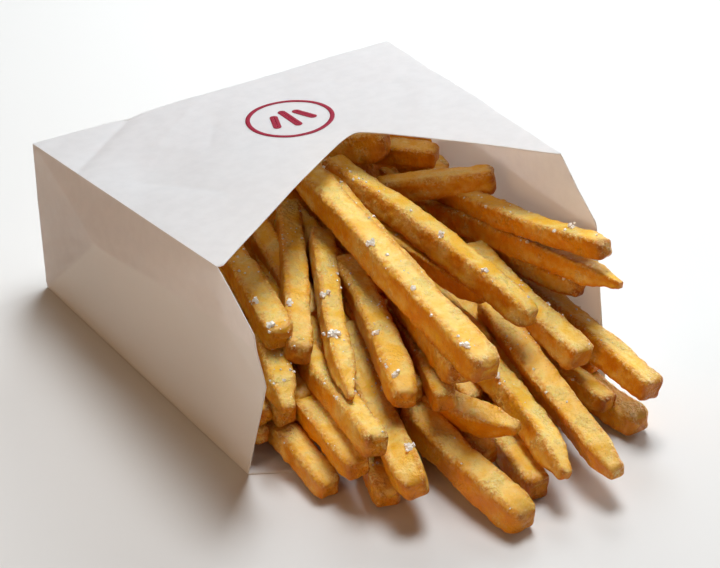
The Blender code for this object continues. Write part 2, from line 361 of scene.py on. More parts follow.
def side_across(share, out):
    """Distance of a side panel from the middle. It is creased like a hipped roof: two folds
    from the base's corners meet in the long fold, which runs on to the mouth."""
    height, ridge = bag_height(out), ridge_height(out)
    slopes = np.minimum(share * height / ridge, (1 - share) * height / (height - ridge))
    fade = mix(1.0, MOUTH_BULGE, np.clip((out - FOLD_START) / (BACK_LENGTH - FOLD_START), 0, 1))
    fold = SIDE_BULGE * fade * np.minimum(slopes, out / FOLD_START)
    return mix(floor_half(out), top_half(out), share) + fold


# %% Panels of the bag
def top_panel(share, along):
    """Left to right over the top: out to the notched edge, at the panel's height."""
    edge = mix(-MOUTH_WIDTH, MOUTH_WIDTH, share) / 2
    out = notch_reach(edge) * along
    return world(mix(-1, 1, share) * top_half(out), out, bag_height(out))


def right_panel(share, along):
    """Top to table down the right side."""
    up_share = 1 - share
    out = side_reach(up_share, SIDE_EDGE_RIGHT) * along
    return world(side_across(up_share, out), out, up_share * bag_height(out))


def back_panel(share, along):
    """Right to left along the table."""
    out = lip_reach(1 - share) * along
    return world(mix(1, -1, share) * floor_half(out), out, 0 * out)


def left_panel(share, along):
    """Table to top up the left side."""
    out = side_reach(share, SIDE_EDGE_LEFT) * along
    return world(-side_across(share, out), out, share * bag_height(out))


# %% Creases of the paper
CREASES = [
    # start and end (across, out, up), height, width, in millimetres. Below zero is a valley.
    ((-57.5, 0, 0), (-59, FOLD_START, FOLD_UP), 0.40, 1.6),
    ((-59, FOLD_START, FOLD_UP), (-54, 116, 48), 0.45, 1.8),
    ((57.5, 0, 0), (59, FOLD_START, FOLD_UP), 0.40, 1.6),
    ((59, FOLD_START, FOLD_UP), (54, 116, 48), 0.45, 1.8),
    ((-59, FOLD_START, FOLD_UP), (-58, 20, 29), -0.35, 1.8),
    ((-56, 52, 40), (-54, 88, 50), -0.40, 2.4),
    ((-53, 90, 53), (-53, 100, 48), -0.80, 1.5),
    ((-55, 0, 29), (55, 0, 29), 0.45, 1.6),
    ((-53, 0, 4), (-31, 0, 27), -0.50, 1.6),
    ((53, 0, 4), (31, 0, 27), -0.50, 1.6),
    ((-53, 0, 44), (-38, 0, 29), 0.40, 1.6),
    ((53, 0, 44), (38, 0, 29), 0.40, 1.6),
    ((-28, 0, 48), (-57, 26, 51), -0.8, 2.6),
    ((-12, 21, 51), (-20, 33, 52), -0.30, 2.0),
    ((-30, 60, 56), (-44, 40, 53), -0.40, 3.0),
    ((-8, 4, 48.5), (-30, 22, 51), 0.25, 3.0),
    ((20, 8, 49), (44, 30, 52), -0.25, 3.5),
    ((36, 50, 55), (50, 34, 53), 0.2, 3.0),
    ((-56, 60, 12), (-53, 92, 22), -0.50, 3.5),
    ((-57, 34, 38), (-54, 70, 46), 0.40, 4.0),
    ((-56, 70, 40), (-53, 96, 26), -0.40, 3.2),
    ((-52, 96, 44), (-52, 112, 38), -0.45, 3.0),
    ((56, 60, 14), (53, 94, 26), -0.5, 3.6),
    ((57, 40, 40), (54, 82, 44), 0.40, 4.0),
    ((54, 80, 36), (52, 104, 20), -0.35, 3.2),
]
DENT = ((-38, 38, 53), -1.2, 12.0)      # soft hollow in the top panel: centre, depth, radius
BULGES = ((0.45, 34.0, 11), (0.16, 13.0, 12), (0.05, 5.0, 13))     # height, patch size, seed
LYING = 1.0                 # paper lower than this lies flat on the table,
LYING_SHARE = 0.1           # and keeps this share of its creases
CRUMPLE_SEED = 21
CRUMPLE_FOLDS = 70          # small random folds,
CRUMPLE_HEIGHT = 0.36       # at most this high,
CRUMPLE_WIDTH = 2.2         # about this wide,
CRUMPLE_REACH = 9.0         # and reaching about this far from their middle
CRUMPLE_HALF = 58           # their middles lie within this distance left and right,
CRUMPLE_OUT = 118           # within this distance of the closed base,
CRUMPLE_TOP = 56            # and at this height
CRUMPLE_LEVELS = (0.05, 0.3, 0.6, 0.95)     # times one of these
SIDE_BAND = (3, 53)         # middles between these heights are moved to a side panel,
SIDE_PLACE = 56             # which is this far from the bag's middle


def crease(points, start, end, height, width):
    """Height of a sharp fold along a line: height times e to the minus distance over width,
    fading where the line ends."""
    first, last = world(*start), world(*end)
    along = last - first
    share = ((points - first) @ along) / max(along @ along, 1e-9)
    nearest = first + np.clip(share, 0, 1)[..., None] * along
    distance = np.linalg.norm(points - nearest, axis=-1)
    return height * np.exp(-distance / width)


def crumple(points):
    """Many small random folds: lines of random place and direction, each as in crease."""
    chance = np.random.default_rng(CRUMPLE_SEED)
    total = 0.0
    for _ in range(CRUMPLE_FOLDS):
        across = chance.uniform(-CRUMPLE_HALF, CRUMPLE_HALF)
        out = chance.uniform(0, CRUMPLE_OUT)
        up = chance.choice(CRUMPLE_LEVELS) * CRUMPLE_TOP
        if SIDE_BAND[0] < up < SIDE_BAND[1]:
            across = np.sign(across) * SIDE_PLACE
        middle = np.array((across, out, up))
        turn = chance.normal(size=3) * chance.uniform(0.3, 1.0) * CRUMPLE_REACH
        height = CRUMPLE_HEIGHT * chance.uniform(-1, 1)
        width = CRUMPLE_WIDTH * chance.uniform(0.7, 1.6)
        total = total + crease(points, middle - turn, middle + turn, height, width)
    return total


# %% Sheet of the bag
TOP_COLUMNS = 124           # columns of points across each panel,
SIDE_COLUMNS = 54
BACK_COLUMNS = 66
SHEET_ROWS = 112            # rows along the walls,
BASE_ROWS = 36              # and from the middle of the base to its edge
FOLD_ANGLE = 30             # folds sharper than this, in degrees, are shaded as sharp
BASE_DISH = 1.2             # the closed base is drawn in by this
FLAP_BLUR = 1.0             # the doubled paper ends over this width
SIDE_DEPTH = 1.5            # points up to this far inside the back panel's edges are a side's
LEAST_UP = 0.02             # no paper lies lower than this


def sheet_normals(sheet):
    """Outward direction at each point: along the bag crossed with round the bag."""
    around = np.roll(sheet, -1, axis=1) - np.roll(sheet, 1, axis=1)
    along = np.gradient(sheet, axis=0)
    return unit(np.cross(along, around))


def bag_sheet():
    """The whole sheet as rows from the middle of the base to the cut edge."""
    along = np.linspace(0, 1, SHEET_ROWS + 1)[:, None]
    panels = ((top_panel, TOP_COLUMNS), (right_panel, SIDE_COLUMNS),
              (back_panel, BACK_COLUMNS), (left_panel, SIDE_COLUMNS))
    walls = np.concatenate([panel(np.arange(columns)[None, :] / columns, along)
                            for panel, columns in panels], axis=1)
    centre = world(0, 0, BASE_HEIGHT / 2)
    share = (np.arange(1, BASE_ROWS) / BASE_ROWS)[:, None, None]
    base = centre + (walls[0] - centre) * share
    base[..., 1] -= BASE_DISH * (1 - ease(share[..., 0]))
    return np.concatenate((base, walls))


def crease_sheet(sheet):
    """Move the sheet along its normals: soft bulges, named creases, small crumples, one dent of
    depth times e to the minus (distance over radius) squared."""
    height = field(sheet, *BULGES)
    for start, end, tall, width in CREASES:
        height = height + crease(sheet, start, end, tall, width)
    height = height + crumple(sheet)
    centre, depth, radius = DENT
    distance = np.linalg.norm(sheet - world(*centre), axis=-1)
    height = height + depth * np.exp(-(distance / radius) ** 2)
    height = np.where(sheet[..., 2] < LYING, LYING_SHARE * height, height)
    return sheet + sheet_normals(sheet) * height[..., None]


def doubled_paper(sheet):
    """1 where the flap folded in from the base lies double, which is the side panels' lower part
    below the folds, and 0 elsewhere, changing over FLAP_BLUR."""
    across, up = np.abs(sheet[..., 0]), sheet[..., 2]
    out = ORIGIN_OUT - sheet[..., 1]
    fold = np.minimum(out * FOLD_UP / FOLD_START, ridge_height(out))
    side = across > floor_half(np.maximum(out, 0)) - SIDE_DEPTH
    return np.where(side, np.clip((fold - up) / FLAP_BLUR, 0, 1), 0.0)


def build_bag():
    """Join the sheet's rows into faces, close the base on its middle point and thicken it."""
    plain = bag_sheet()
    sheet = crease_sheet(plain)
    rows, columns = sheet.shape[:2]
    middle = sheet[0].mean(axis=0)
    points = np.concatenate((sheet.reshape(-1, 3), middle[None]))
    points[:, 2] = np.maximum(points[:, 2], LEAST_UP)
    looks = np.zeros((len(points), 3))
    looks[:-1, 0] = doubled_paper(plain).ravel()
    faces = [ring_faces(rows, columns)[:, ::-1],
             fan_faces(0, rows * columns, columns, outward=True)]
    bag = new_mesh("paper_bag", points, faces, looks)
    bag.data.set_sharp_from_angle(angle=np.radians(FOLD_ANGLE))
    thick = bag.modifiers.new("paper", "SOLIDIFY")
    thick.thickness = PAPER * MM
    thick.offset = -1.0
    return bag, sheet


bag, bag_sheet_points = build_bag()
print("bag sheet:", bag_sheet_points.shape)

# %% [markdown]
# ## Print on the top panel
# Real bags carry a small print in one colour. This one is a plain ring with three bars. It could
# be painted into the paper's material, but a skin of ink that lies on the sheet has crisp edges,
# and another print can take its place.

# %% Print on the top panel
PRINT_ACROSS = 6.5          # centre of the print
PRINT_OUT = 31.0
RING_OUTER = 12.4
RING_INNER = 11.1
BARS = [
    # distance of the bar's middle from the centre, half its length, turned by degrees
    (-4.6, 4.2, -20.0),
    (0.0, 5.8, 0.0),
    (4.6, 4.2, 20.0),
]
BAR_HALF = 1.15             # half the width of a bar
INK_LIFT = 0.07             # the ink lies this far over the paper
INK = 0.03                  # thickness of the ink


def on_top_panel(across, out):
    """Points just over the top panel, found from the sheet's rows and columns by blending the
    four grid points round each place."""
    wall = bag_sheet_points[BASE_ROWS - 1:, :TOP_COLUMNS + 1]
    share = across / (2 * top_half(out)) + 0.5
    edge = mix(-MOUTH_WIDTH, MOUTH_WIDTH, share) / 2
    row = np.clip(out / notch_reach(edge), 0, 0.999) * SHEET_ROWS
    column = np.clip(share, 0, 0.999) * TOP_COLUMNS
    low_row, low_column = row.astype(int), column.astype(int)
    row_share, column_share = (row - low_row)[..., None], (column - low_column)[..., None]
    near = mix(wall[low_row, low_column], wall[low_row, low_column + 1], column_share)
    far = mix(wall[low_row + 1, low_column], wall[low_row + 1, low_column + 1], column_share)
    return mix(near, far, row_share) + INK_LIFT * UP


def ring_patch(outer, inner, rings, columns):
    """A flat ring as a grid: across = centre + r cos a, out = centre + r sin a."""
    radius = np.linspace(inner, outer, rings)[:, None]
    angle = np.linspace(0, 2 * np.pi, columns, endpoint=False)[None, :]
    return PRINT_ACROSS + radius * np.cos(angle), PRINT_OUT + radius * np.sin(angle)


def bar_patch(offset, half, turn, rings, columns):
    """A flat bar with round ends as rings of points that shrink to its middle line."""
    angle = np.linspace(0, 2 * np.pi, columns, endpoint=False)[None, :]
    size = np.linspace(0.02, 1, rings)[:, None]
    wide = BAR_HALF * size * np.cos(angle)
    long = BAR_HALF * size * np.sin(angle) + (half - BAR_HALF) * np.sign(np.sin(angle) + 1e-9)
    swing = np.radians(turn)
    across = PRINT_ACROSS + offset + wide * np.cos(swing) + long * np.sin(swing)
    out = PRINT_OUT - wide * np.sin(swing) + long * np.cos(swing)
    return across, out


def build_print():
    """Lay the ring and the bars on the top panel and join them into one piece."""
    patches = [ring_patch(RING_OUTER, RING_INNER, 4, 96)]
    patches += [bar_patch(offset, half, turn, 5, 40) for offset, half, turn in BARS]
    points, faces, first = [], [], 0
    for across, out in patches:
        rows, columns = across.shape
        points.append(on_top_panel(across, out).reshape(-1, 3))
        faces.append(ring_faces(rows, columns, first)[:, ::-1])
        first += rows * columns
    ink = new_mesh("printed_ring", np.concatenate(points), faces)
    thick = ink.modifiers.new("ink", "SOLIDIFY")
    thick.thickness = INK * MM
    thick.offset = -1.0
    return ink


ink = build_print()

# %% [markdown]
# ## Fries
# A fry is a stick of potato with a square section, cut with sharp edges and then fried, so that
# its faces sink a little, its edges and ends brown, and its skin blisters. A box with rounded
# edges would look moulded. Each fry is a section carried from tip to root: a rounded square
# whose corners, width and surface all vary with random fields, closed by a cut face at each end.

# %% Shape of a fry
AROUND = 60                 # points round a section
STEP = 0.46                 # distance between sections, in millimetres
HIDDEN_DETAIL = 0.6         # fries deep in the heap have this share of the points
SQUARENESS = 6.5            # exponent of the rounded square,
SQUARE_SPREAD = 0.25        # which differs from fry to fry by this share
CROWDING = 0.13             # how much closer the points of a section lie at its edges
CORNERS = (0.28, 0.5)       # roundness of a cut end, in shares of half the thickness
END_ROWS = (7, 5)           # rows of a cut end: on its face, and round its corner
PLUMPNESS = 1.03            # makes up for the rounded corners of the sections
TIP_LENGTHS = (4, 15)       # length of a tip that doesn't taper, and what a full taper adds
TIP_SHRINK = 0.04           # every tip is narrower by this share
TIP_POWER = 1.2             # exponent of the narrowing
# Random fields that shape a fry: strength, size of the patches in millimetres, seed. SWAY and
# HEAVE move its middle line sideways and up, CUT_FACE its cut faces, and the skins its surface.
EDGE_SHARPNESS = (0.25, 20.0, 30)
WAIST = (0.075, 15.0, 31)
FINE_WAIST = (0.04, 6.0, 32)
FLATNESS = (0.09, 26.0, 33)
SWAY = (0.75, 24.0, 34)
HEAVE = (0.65, 24.0, 35)
SKIN = ((0.20, 4.6, 36), (0.13, 2.1, 37), (0.07, 1.05, 43))
CUT_FACE = (0.45, 2.2, 40)
END_SKIN = (0.35, 1.8, 42)
# Patch size and seed of the blisters and of the crumbs on the edges, and their heights
BLISTERS = (1.7, 38)
BLISTER_HEIGHT = 0.20
CRUMBS = (1.25, 39)
CRUMB_HEIGHT = 0.15
SUNKEN = 0.08               # the faces lie this much lower than the edges
END_REACH = 1.6             # the skin is rougher this near to an end
# Colours of a fry, as shares that its material reads
RIM_BROWN = 0.8             # brown along the rim of a cut end,
RIM_WIDTH = 0.8             # over this many millimetres
END_BROWN = 0.32            # brown all round an end,
END_WIDTHS = (2.0, 5.0)     # over a length between these,
END_PATCHES = (0.8, 3.0, 41)        # in patches
# painted light: the value below is dryness plus painted top light, paler where a face points up and
# darker amber where it points down
DRY_LEVEL = 0.45            # dryness of an upright face,
TOP_LIGHT_FACING = 0.7            # and what is added where it faces up,
DRY_PATCHES = (0.20, 5.0, 44)       # in patches
DRY_OWN = 0.2               # share of the dryness that differs from fry to fry
BROWNED = {                 # fries whose cut end is darker than most
    "crosswise": 2.6, "left_upright": 1.7, "right_far_long": 1.6, "right_highest": 1.5,
    "front_right_blunt": 1.7, "right_small": 1.6, "long_top": 1.4, "tucked_under_long_top": 1.8,
    "under_the_notch": 2.0, "left_blunt": 1.4, "under_right_pointed": 2.0,
}


def section_angles(around):
    """Angles round the section, closer together at the four edges."""
    even = np.linspace(0, 2 * np.pi, around, endpoint=False)
    return even + CROWDING * np.sin(4 * even)


def end_rows(edge):
    """Rows of a cut end, as (depth, share of the section's size): a flat face from the middle
    outwards, then a quarter circle of radius edge, in shares of half the thickness."""
    flat = np.linspace(0.12, 1 - edge, END_ROWS[0])
    turn = np.radians(np.linspace(15, 90, END_ROWS[1]))
    depth = np.concatenate((0.05 * edge * flat, edge * (1 - np.cos(turn))))
    size = np.concatenate((flat, 1 - edge + edge * np.sin(turn)))
    return depth, size


def fry_axes(tip, root, roll):
    """Directions of a fry: forward from root to tip, and two across it turned by roll."""
    forward = unit(tip - root)
    side = unit(np.cross(UP, forward))
    if side[0] < 0:
        side = -side
    down = np.cross(side, forward)
    cosine, sine = np.cos(roll), np.sin(roll)
    return forward, cosine * side - sine * down, sine * side + cosine * down


def surface_normals(surface):
    """Outward normal at each point of a closed ring surface: across the rows, round the ring."""
    around = np.roll(surface, -1, axis=1) - np.roll(surface, 1, axis=1)
    along = np.gradient(surface, axis=0)
    normal = unit(np.cross(along, around))
    outward = surface - surface.mean(axis=1, keepdims=True)
    return normal * np.sign(np.sum(normal * outward, axis=-1, keepdims=True))


def section_rows(half, length, corner, step):
    """Where the sections lie: distance back from the tip, and share of the full size."""
    depth, size = end_rows(corner)
    body = np.arange(half * depth[-1] + step, length - half * depth[-1], step)
    back = np.concatenate((half * depth, body, length - half * depth[::-1]))
    swell = np.concatenate((size, np.ones(len(body)), size[::-1]))
    return back, swell


def section_shape(angle, back, swell, line, square, size, taper):
    """Places across the fry of each section's points: a rounded square of radius
    size (|cos a|^n + |sin a|^n)^(-1/n), narrower at the tip, with an uneven waist."""
    radius = (np.abs(np.cos(angle)) ** square + np.abs(np.sin(angle)) ** square) ** (-1 / square)
    tip_length = TIP_LENGTHS[0] + TIP_LENGTHS[1] * taper
    narrow = 1 - (TIP_SHRINK + taper) * (1 - ease(back / tip_length)) ** TIP_POWER
    waist = 1 + field(line, WAIST) + field(line + 50, FINE_WAIST)
    radius = size * radius * (narrow * waist * swell)[:, None]
    flatness = (1 + field(line, FLATNESS))[:, None]
    return radius * np.cos(angle) * flatness, radius * np.sin(angle) / flatness


def middle_line(tip, axes, back, length, line, bow):
    """The bent centre line: back from the tip, moved to the side by bow (1 - (2 s - 1)²) at the
    share s of its length, with a slow sway and heave."""
    forward, side, down = axes
    share = 1 - back / length
    sway = field(line, SWAY) + bow * (1 - (2 * share - 1) ** 2)
    heave = field(line + 90, HEAVE)
    return tip - back[:, None] * forward + sway[:, None] * side + heave[:, None] * down


def skin_height(local, edge, near_end):
    """How far each point stands out: an uneven skin with blisters, crumbs along the edges,
    sunken faces, and rougher ends."""
    blister = np.clip(noise(local, *BLISTERS), 0.1, 1) - 0.1
    crumb = edge * noise(local, *CRUMBS)
    height = field(local, *SKIN) + BLISTER_HEIGHT * blister + CRUMB_HEIGHT * crumb
    return height - SUNKEN * (1 - edge) + field(local, END_SKIN) * np.exp(-near_end / END_REACH)


def fry_looks(points, local, edge, from_rim, near_end, browned, chance):
    """What the material reads at each point: edge, brownness, dryness with painted top light."""
    rim = RIM_BROWN * np.exp(-from_rim / RIM_WIDTH)
    around_end = END_BROWN * np.exp(-near_end / mix(*END_WIDTHS, chance.random()))
    brown = browned * (rim + around_end * (0.6 + field(local, END_PATCHES)))
    # painted light: faces that point up are made paler, as top light, and faces that point down
    # darker amber, as shade
    facing = surface_normals(points)[..., 2]
    dry_and_top_light = ease(DRY_LEVEL + TOP_LIGHT_FACING * facing + field(local, DRY_PATCHES))
    dry_and_top_light = (1 - DRY_OWN) * dry_and_top_light + DRY_OWN * chance.uniform(0, 1)
    return np.stack((edge, np.clip(brown, 0, 1), dry_and_top_light), axis=-1)


def fry_surface(tip, root, thickness, taper, bow, roll, seed, browned=1.0, detail=1.0):
    """Points and looks of one fry. At distance s from the tip and angle a the point is the bent
    centre line plus radius(s, a) times a direction across the fry, roughened by random fields."""
    chance = np.random.default_rng(seed)
    axes = forward, side, down = fry_axes(tip, root, roll)
    length = np.linalg.norm(tip - root)
    half = thickness / 2
    back, swell = section_rows(half, length, chance.uniform(*CORNERS), STEP / detail)
    angle = section_angles(int(AROUND * detail))[None, :]
    shift = chance.uniform(-400, 400, 3)
    line = np.stack((back, 0 * back, 0 * back), axis=-1) + shift
    sharpness = 1 + SQUARE_SPREAD * chance.uniform(-1, 1) + field(line, EDGE_SHARPNESS)
    square = (SQUARENESS * sharpness)[:, None]
    wide, tall = section_shape(angle, back, swell, line, square, PLUMPNESS * half, taper)
    across = wide[..., None] * side + tall[..., None] * down
    points = middle_line(tip, axes, back, length, line, bow)[:, None] + across

    local = np.stack((back[:, None] + 0 * wide, wide, tall), axis=-1) + shift
    edge = ease((1 - np.cos(4 * angle)) / 2) * np.ones_like(wide)
    near_end = np.minimum(back, length - back)[:, None]
    cap = 1 - swell[:, None]
    height = skin_height(local, edge, near_end) * swell[:, None]
    tipward = np.where(back < length / 2, 1.0, -1.0)[:, None]
    cut = field(local, CUT_FACE) * ease(cap * 2.5) * tipward
    points = points + height[..., None] * unit(across) + cut[..., None] * forward
    return points, fry_looks(points, local, edge, half * cap + near_end, near_end, browned, chance)


def join_fries(name, fries):
    """Join the surfaces of several fries into one mesh, each closed at both ends."""
    points, looks, faces, first = [], [], [], 0
    for surface, look in fries:
        rows, columns = surface.shape[:2]
        count = rows * columns
        ends = np.stack((surface[0].mean(axis=0), surface[-1].mean(axis=0)))
        end_looks = np.stack((look[0].mean(axis=0), look[-1].mean(axis=0)))
        points += [surface.reshape(-1, 3), ends]
        looks += [look.reshape(-1, 3), end_looks]
        faces += [ring_faces(rows, columns, first),
                  fan_faces(first, first + count, columns, outward=False),
                  fan_faces(first + count - columns, first + count + 1, columns, outward=True)]
        first += count + 2
    return new_mesh(name, np.concatenate(points), faces, np.concatenate(looks))


# %% Build the fries that show
GROUPS = 8                  # the fries are joined into this many pieces


def roll_of_each():
    """The roll of each fry, drawn in order for the fries that lie on others."""
    chance = np.random.RandomState([ROLL_SEED])
    return [chance.uniform(-ROLL_LIMIT, ROLL_LIMIT) if tip[2] > LYING_FLAT else 0.0
            for _, tip, _, _, _, _ in FRIES]


def build_fries():
    """Work out every fry of the table and join them in groups."""
    surfaces = []
    for number, (fry, roll) in enumerate(zip(FRIES, roll_of_each())):
        name, tip, root, thickness, taper, bow = fry
        surfaces.append(fry_surface(world(*tip), world(*root), thickness, taper, bow,
                                    np.radians(roll), 100 + number, BROWNED.get(name, 1.0)))
    share = -(-len(surfaces) // GROUPS)
    pieces = [join_fries(f"fries_{group + 1}", surfaces[group * share:(group + 1) * share])
              for group in range(GROUPS)]
    return pieces, surfaces


fry_pieces, fry_surfaces = build_fries()
print("fries that show:", len(fry_surfaces))

# %% [markdown]
# ## Fries underneath
# Between the fries that show, others can be seen that lie deeper in the bag. They rest on a
# rough mound that stands for the rest of the heap, which can't be seen. Fries all the way down
# would cost many points that no view reaches.

# %% Mound under the fries
CORE_INSET = 1.9            # the mound stays this far inside the paper
CORE_END_LEFT = 95.0
CORE_END_RIGHT = 113.0
CORE_BACK_TOP = 41.5
CORE_FRONT_TOP = 24.0
CORE_FRONT_START = 44.0
BACK_SLOPE = 0.9
FRONT_SLOPE = 0.22
SLOPE_START_LEFT = 30.0
SLOPE_START_RIGHT = 22.0
SLOPE_TURN = 16.0
MOUND_COLUMNS = 160         # points round the mound,
MOUND_ROWS = 46             # and rings from its foot to its middle,
MOUND_SIDE_ROWS = 8         # of which this many climb its sides
MOUND_SQUARE = 8            # exponent of its rounded square plan
MOUND_FOOT = 0.6            # its foot stands this far over the table,
MOUND_LOW = 2.2             # and its top this far under core_top
RIB_HEIGHT = 1.3            # ribs on it stand for fries that lie side by side,
RIB_WIDTH = 7.15            # this far apart
RIB_TURN = 0.02             # and turned a little
MOUND_ROUGH = (0.5, 3.0, 51)        # strength, patch size, seed
# painted shade: the mound's low dryness makes it deep amber, as shade deep in the heap
MOUND_SHADED_LOOKS = (0.4, 0.25, 0.1)      # nearness to an edge, brownness, dryness


def core_top(across, out):
    """Height of the mound that carries the fries: up to the panel at the back, low in front."""
    right = np.clip((across - NOTCH_ACROSS) / SLOPE_TURN, 0, 1)
    slope_start = mix(SLOPE_START_LEFT, SLOPE_START_RIGHT, right)
    back = CORE_BACK_TOP - BACK_SLOPE * np.maximum(out - slope_start, 0)
    front = CORE_FRONT_TOP - FRONT_SLOPE * np.maximum(out - CORE_FRONT_START, 0)
    return np.maximum(back, front)


def build_mound():
    """A domed block as rings that shrink from its foot to its middle: the top follows core_top,
    with ribs of height |sin| of the place across the bag."""
    columns, rows, top_rows = MOUND_COLUMNS, MOUND_ROWS, MOUND_ROWS - MOUND_SIDE_ROWS
    angle = np.linspace(0, 2 * np.pi, columns, endpoint=False)[None, :]
    power = MOUND_SQUARE
    square = (np.abs(np.cos(angle)) ** power + np.abs(np.sin(angle)) ** power) ** (-1 / power)
    size = np.concatenate((np.ones(MOUND_SIDE_ROWS), np.linspace(1, 0.02, top_rows)))[:, None]
    wide, long = size * square * np.cos(angle), size * square * np.sin(angle)
    end = mix(CORE_END_LEFT, CORE_END_RIGHT, (1 + wide) / 2)
    out = mix(CORE_INSET, end, (1 + long) / 2)
    across = wide * (np.minimum(floor_half(out), top_half(out)) - CORE_INSET)
    ribs = RIB_HEIGHT * np.abs(np.sin(np.pi * across / RIB_WIDTH + RIB_TURN * out))
    lift = np.concatenate((np.linspace(0, 1, MOUND_SIDE_ROWS), np.ones(top_rows)))[:, None]
    top = core_top(across, out) - MOUND_LOW + ribs
    points = world(across, out, mix(MOUND_FOOT, top, ease(lift)))
    points = points + field(points, MOUND_ROUGH)[..., None] * UP * lift[..., None]
    faces = [ring_faces(rows, columns)[:, ::-1],
             fan_faces((rows - 1) * columns, rows * columns, columns, outward=False),
             fan_faces(0, rows * columns + 1, columns, outward=True)]
    ends = np.stack((points[-1].mean(axis=0), points[0].mean(axis=0)))
    looks = np.tile(MOUND_SHADED_LOOKS, (rows * columns + 2, 1))
    return new_mesh("fries_heap", np.concatenate((points.reshape(-1, 3), ends)), faces, looks)


# %% Fries between those that show
INNER_SEED = 61
LAYERS = (104, 78)          # the fries on the mound lie in two rows whose tips reach this far out,
LAYER_STEP = 7.6            # this far apart,
INNER_LENGTH = 42           # this long
INNER_TOP = 30.0            # and with roots no higher than this
WALL_GAP = 1.5              # they stay this far from the side panels
INNER_THICKNESS = (5.8, 7.2)
REACH_SPREAD = (-8, 4)      # a tip lies between these off the row's reach,
PLACE_SPREAD = 2            # up to this far left or right of its place,
LEAN_SPREAD = 6             # and its root up to this much further
LOW_THICKNESS = 6.4
LOW_FRIES = [
    # tip and root (across, out, up) of one fry that lies under the top panel behind the notch,
    # and of short ones deep in the gaps of the front rows
    ((42.5, 51, 39), (24, 29, 37)),
    ((19, 127, 3.6), (24, 92, 6)),
    ((34, 124, 3.6), (33, 92, 6)),
    ((11, 118, 8.0), (12, 84, 13)),
    ((22, 122, 11), (26, 88, 14)),
    ((1, 124, 3.6), (4, 92, 7)),
    ((-20, 118, 7.0), (-16, 84, 12)),
]


def inner_fry(across, reach, chance):
    """Tip, root and thickness of a fry of random place that lies on the mound."""
    thickness = chance.uniform(*INNER_THICKNESS)
    tip_out = reach + 0.10 * across + chance.uniform(*REACH_SPREAD)
    place = across + chance.uniform(-PLACE_SPREAD, PLACE_SPREAD)
    lean = chance.uniform(-LEAN_SPREAD, LEAN_SPREAD)
    root_out = tip_out - INNER_LENGTH
    tip_up = core_top(place, tip_out) + thickness * 0.35
    root_up = core_top(place + lean, root_out + 8) + thickness * 0.2
    limit = floor_half(tip_out) - thickness * 0.75 - WALL_GAP
    tip = world(np.clip(place, -limit, limit), tip_out, tip_up)
    root = world(np.clip(place + lean, -limit, limit), root_out, min(root_up, INNER_TOP))
    return tip, root, thickness


def build_inner_fries():
    """Join the low fries and the rows of random ones, whose tips end behind those that show."""
    chance = np.random.default_rng(INNER_SEED)
    surfaces = [fry_surface(world(*tip), world(*root), LOW_THICKNESS, 0.1, 0.4, 0.1, 200 + number,
                            detail=HIDDEN_DETAIL)
                for number, (tip, root) in enumerate(LOW_FRIES)]
    for reach in LAYERS:
        for across in np.arange(-43, 46, LAYER_STEP):
            tip, root, thickness = inner_fry(across, reach, chance)
            surfaces.append(fry_surface(tip, root, thickness, 0.1, chance.uniform(-1, 1),
                                        np.radians(chance.uniform(-20, 20)),
                                        300 + len(surfaces), detail=HIDDEN_DETAIL))
    return join_fries("fries_underneath", surfaces)


mound = build_mound()
inner_fries = build_inner_fries()

# %% [markdown]
# ## Salt
# Coarse salt sticks to the oily tops of the fries: single cubic grains, and a few clumps where
# grains have stuck together. White spots in the fries' material would lie flat, so each grain is
# a rough cube of its own, at its true size.

# %% Salt on the fries
SALT_GRAINS = 460           # single grains
GRAIN_SIZES = (0.18, 0.75)  # side of a grain, in millimetres, most of them near the lower one
CLUMP_SIZES = (0.35, 0.90)  # side of a grain in a clump
SALT_SEED = 71
SHAPE_SEED = 73
SALT_PATCHES = (7.0, 72)    # patch size and seed of the field that gathers the grains
UPWARD = 0.45               # grains lie where the fries' normals point up by at least this
SALT_END = 150.0            # they thin out towards this distance from the closed base,
SALT_FADE = 40.0            # over this length
CLUMPS = [
    # number of the fry, place along it as a share of its sections from the tip, grains, reach
    (9, 0.10, 16, 1.0),
    (11, 0.34, 26, 1.4),
    (11, 0.55, 16, 1.0),
    (0, 0.52, 20, 1.2),
    (1, 0.45, 14, 1.0),
    (12, 0.42, 14, 1.0),
    (19, 0.20, 18, 1.2),
    (0, 0.10, 14, 1.0),
    (19, 0.55, 12, 0.9),
    (27, 0.60, 14, 1.0),
    (1, 0.25, 10, 0.8),
    (4, 0.20, 8, 0.8),
    (9, 0.30, 10, 0.9),
    (12, 0.15, 10, 0.8),
    (0, 0.33, 8, 0.7),
    (10, 0.25, 9, 0.8),
]


def grain_shape(places, sizes, seed):
    """Rough cubes: eight corners each, moved at random, scaled, turned and set in place."""
    chance = np.random.default_rng(seed)
    corner = np.array(list(np.ndindex(2, 2, 2)), float) - 0.5
    shape = corner[None] + chance.uniform(-0.16, 0.16, (len(places), 8, 3))
    frame_x = unit(chance.normal(size=(len(places), 3)))
    frame_y = unit(np.cross(frame_x, chance.normal(size=(len(places), 3))))
    frame_z = np.cross(frame_x, frame_y)
    turned = (shape[..., :1] * frame_x[:, None] + shape[..., 1:2] * frame_y[:, None]
              + shape[..., 2:] * frame_z[:, None])
    return places[:, None] + turned * sizes[:, None, None]


def upward_points():
    """The points of the fries that show whose surface faces up, with their normals."""
    places, normals = [], []
    for surface, _ in fry_surfaces:
        places.append(surface.reshape(-1, 3))
        normals.append(surface_normals(surface).reshape(-1, 3))
    places, normals = np.concatenate(places), np.concatenate(normals)
    keep = normals[:, 2] > UPWARD
    return places[keep], normals[keep]


